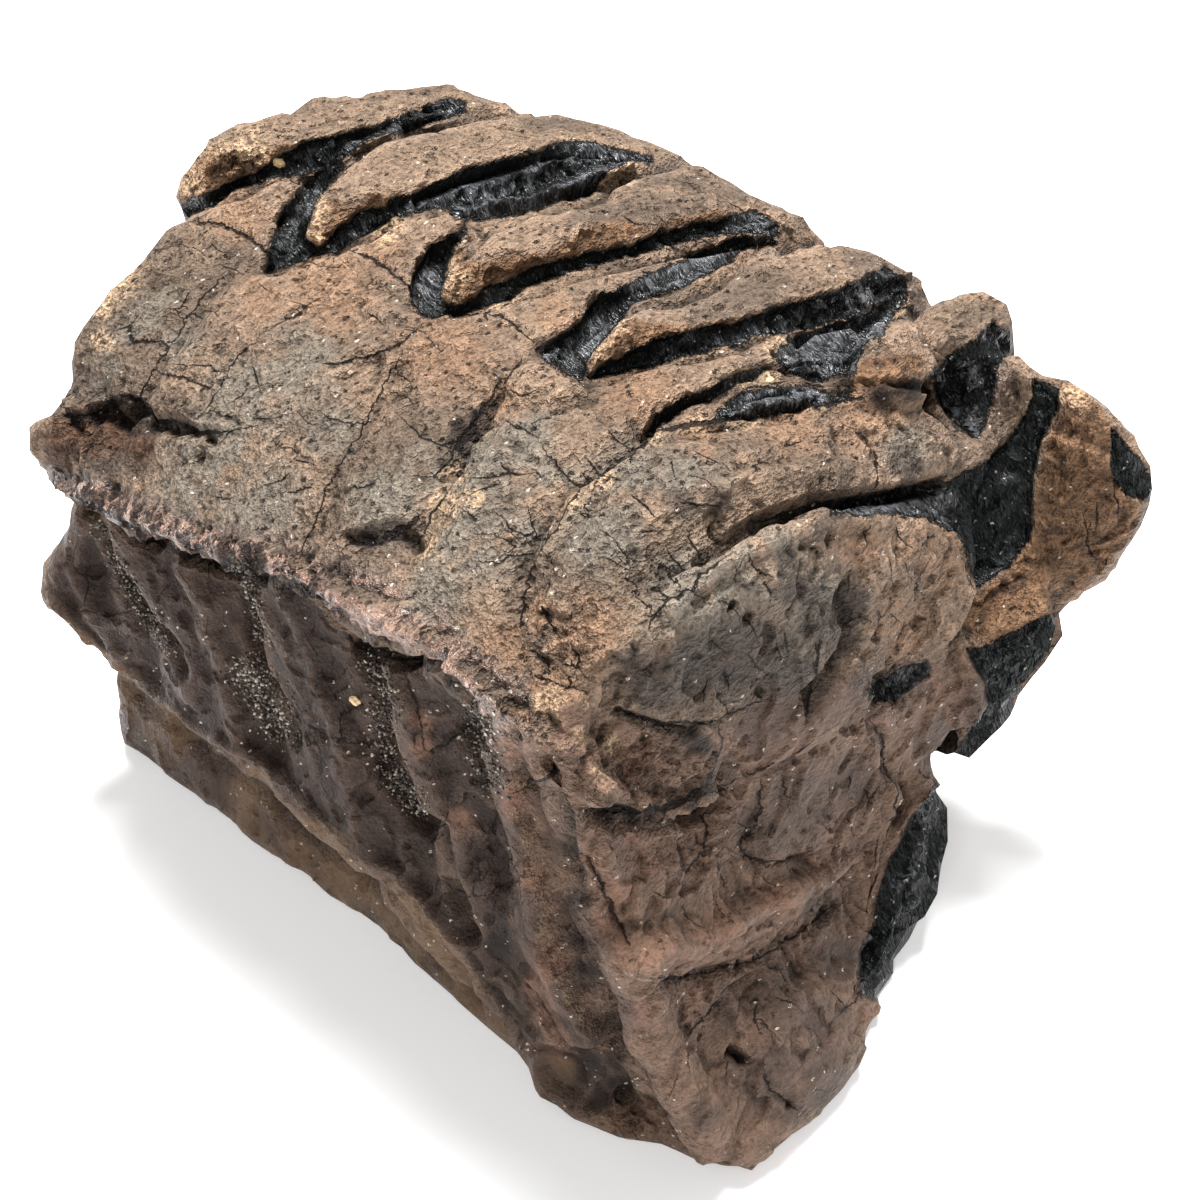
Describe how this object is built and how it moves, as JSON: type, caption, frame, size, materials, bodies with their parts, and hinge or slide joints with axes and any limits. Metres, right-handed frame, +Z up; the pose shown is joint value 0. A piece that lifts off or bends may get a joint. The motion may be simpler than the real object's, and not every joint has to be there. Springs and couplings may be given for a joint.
{
  "type": "fossil mammoth tooth",
  "caption": "Broken block of a fossil mammoth molar: plates with dark enamel folds on the worn crown, a ribbed side wall and a flat break to stand on.",
  "frame": {"origin": "centre of the bounding box's footprint, at the flat break the block stands on", "axes": "+X runs along the tooth from its back break to its front plate, +Y across it from the ribbed wall to the far side, +Z up"},
  "size_m": [0.0997, 0.0838, 0.0708],
  "materials": {
    "tooth": "dull brown fossil cement and dentine, semi-gloss near-black enamel"
  },
  "bodies": {
    "root": {"tooth": "tooth"}
  },
  "joints": []
}
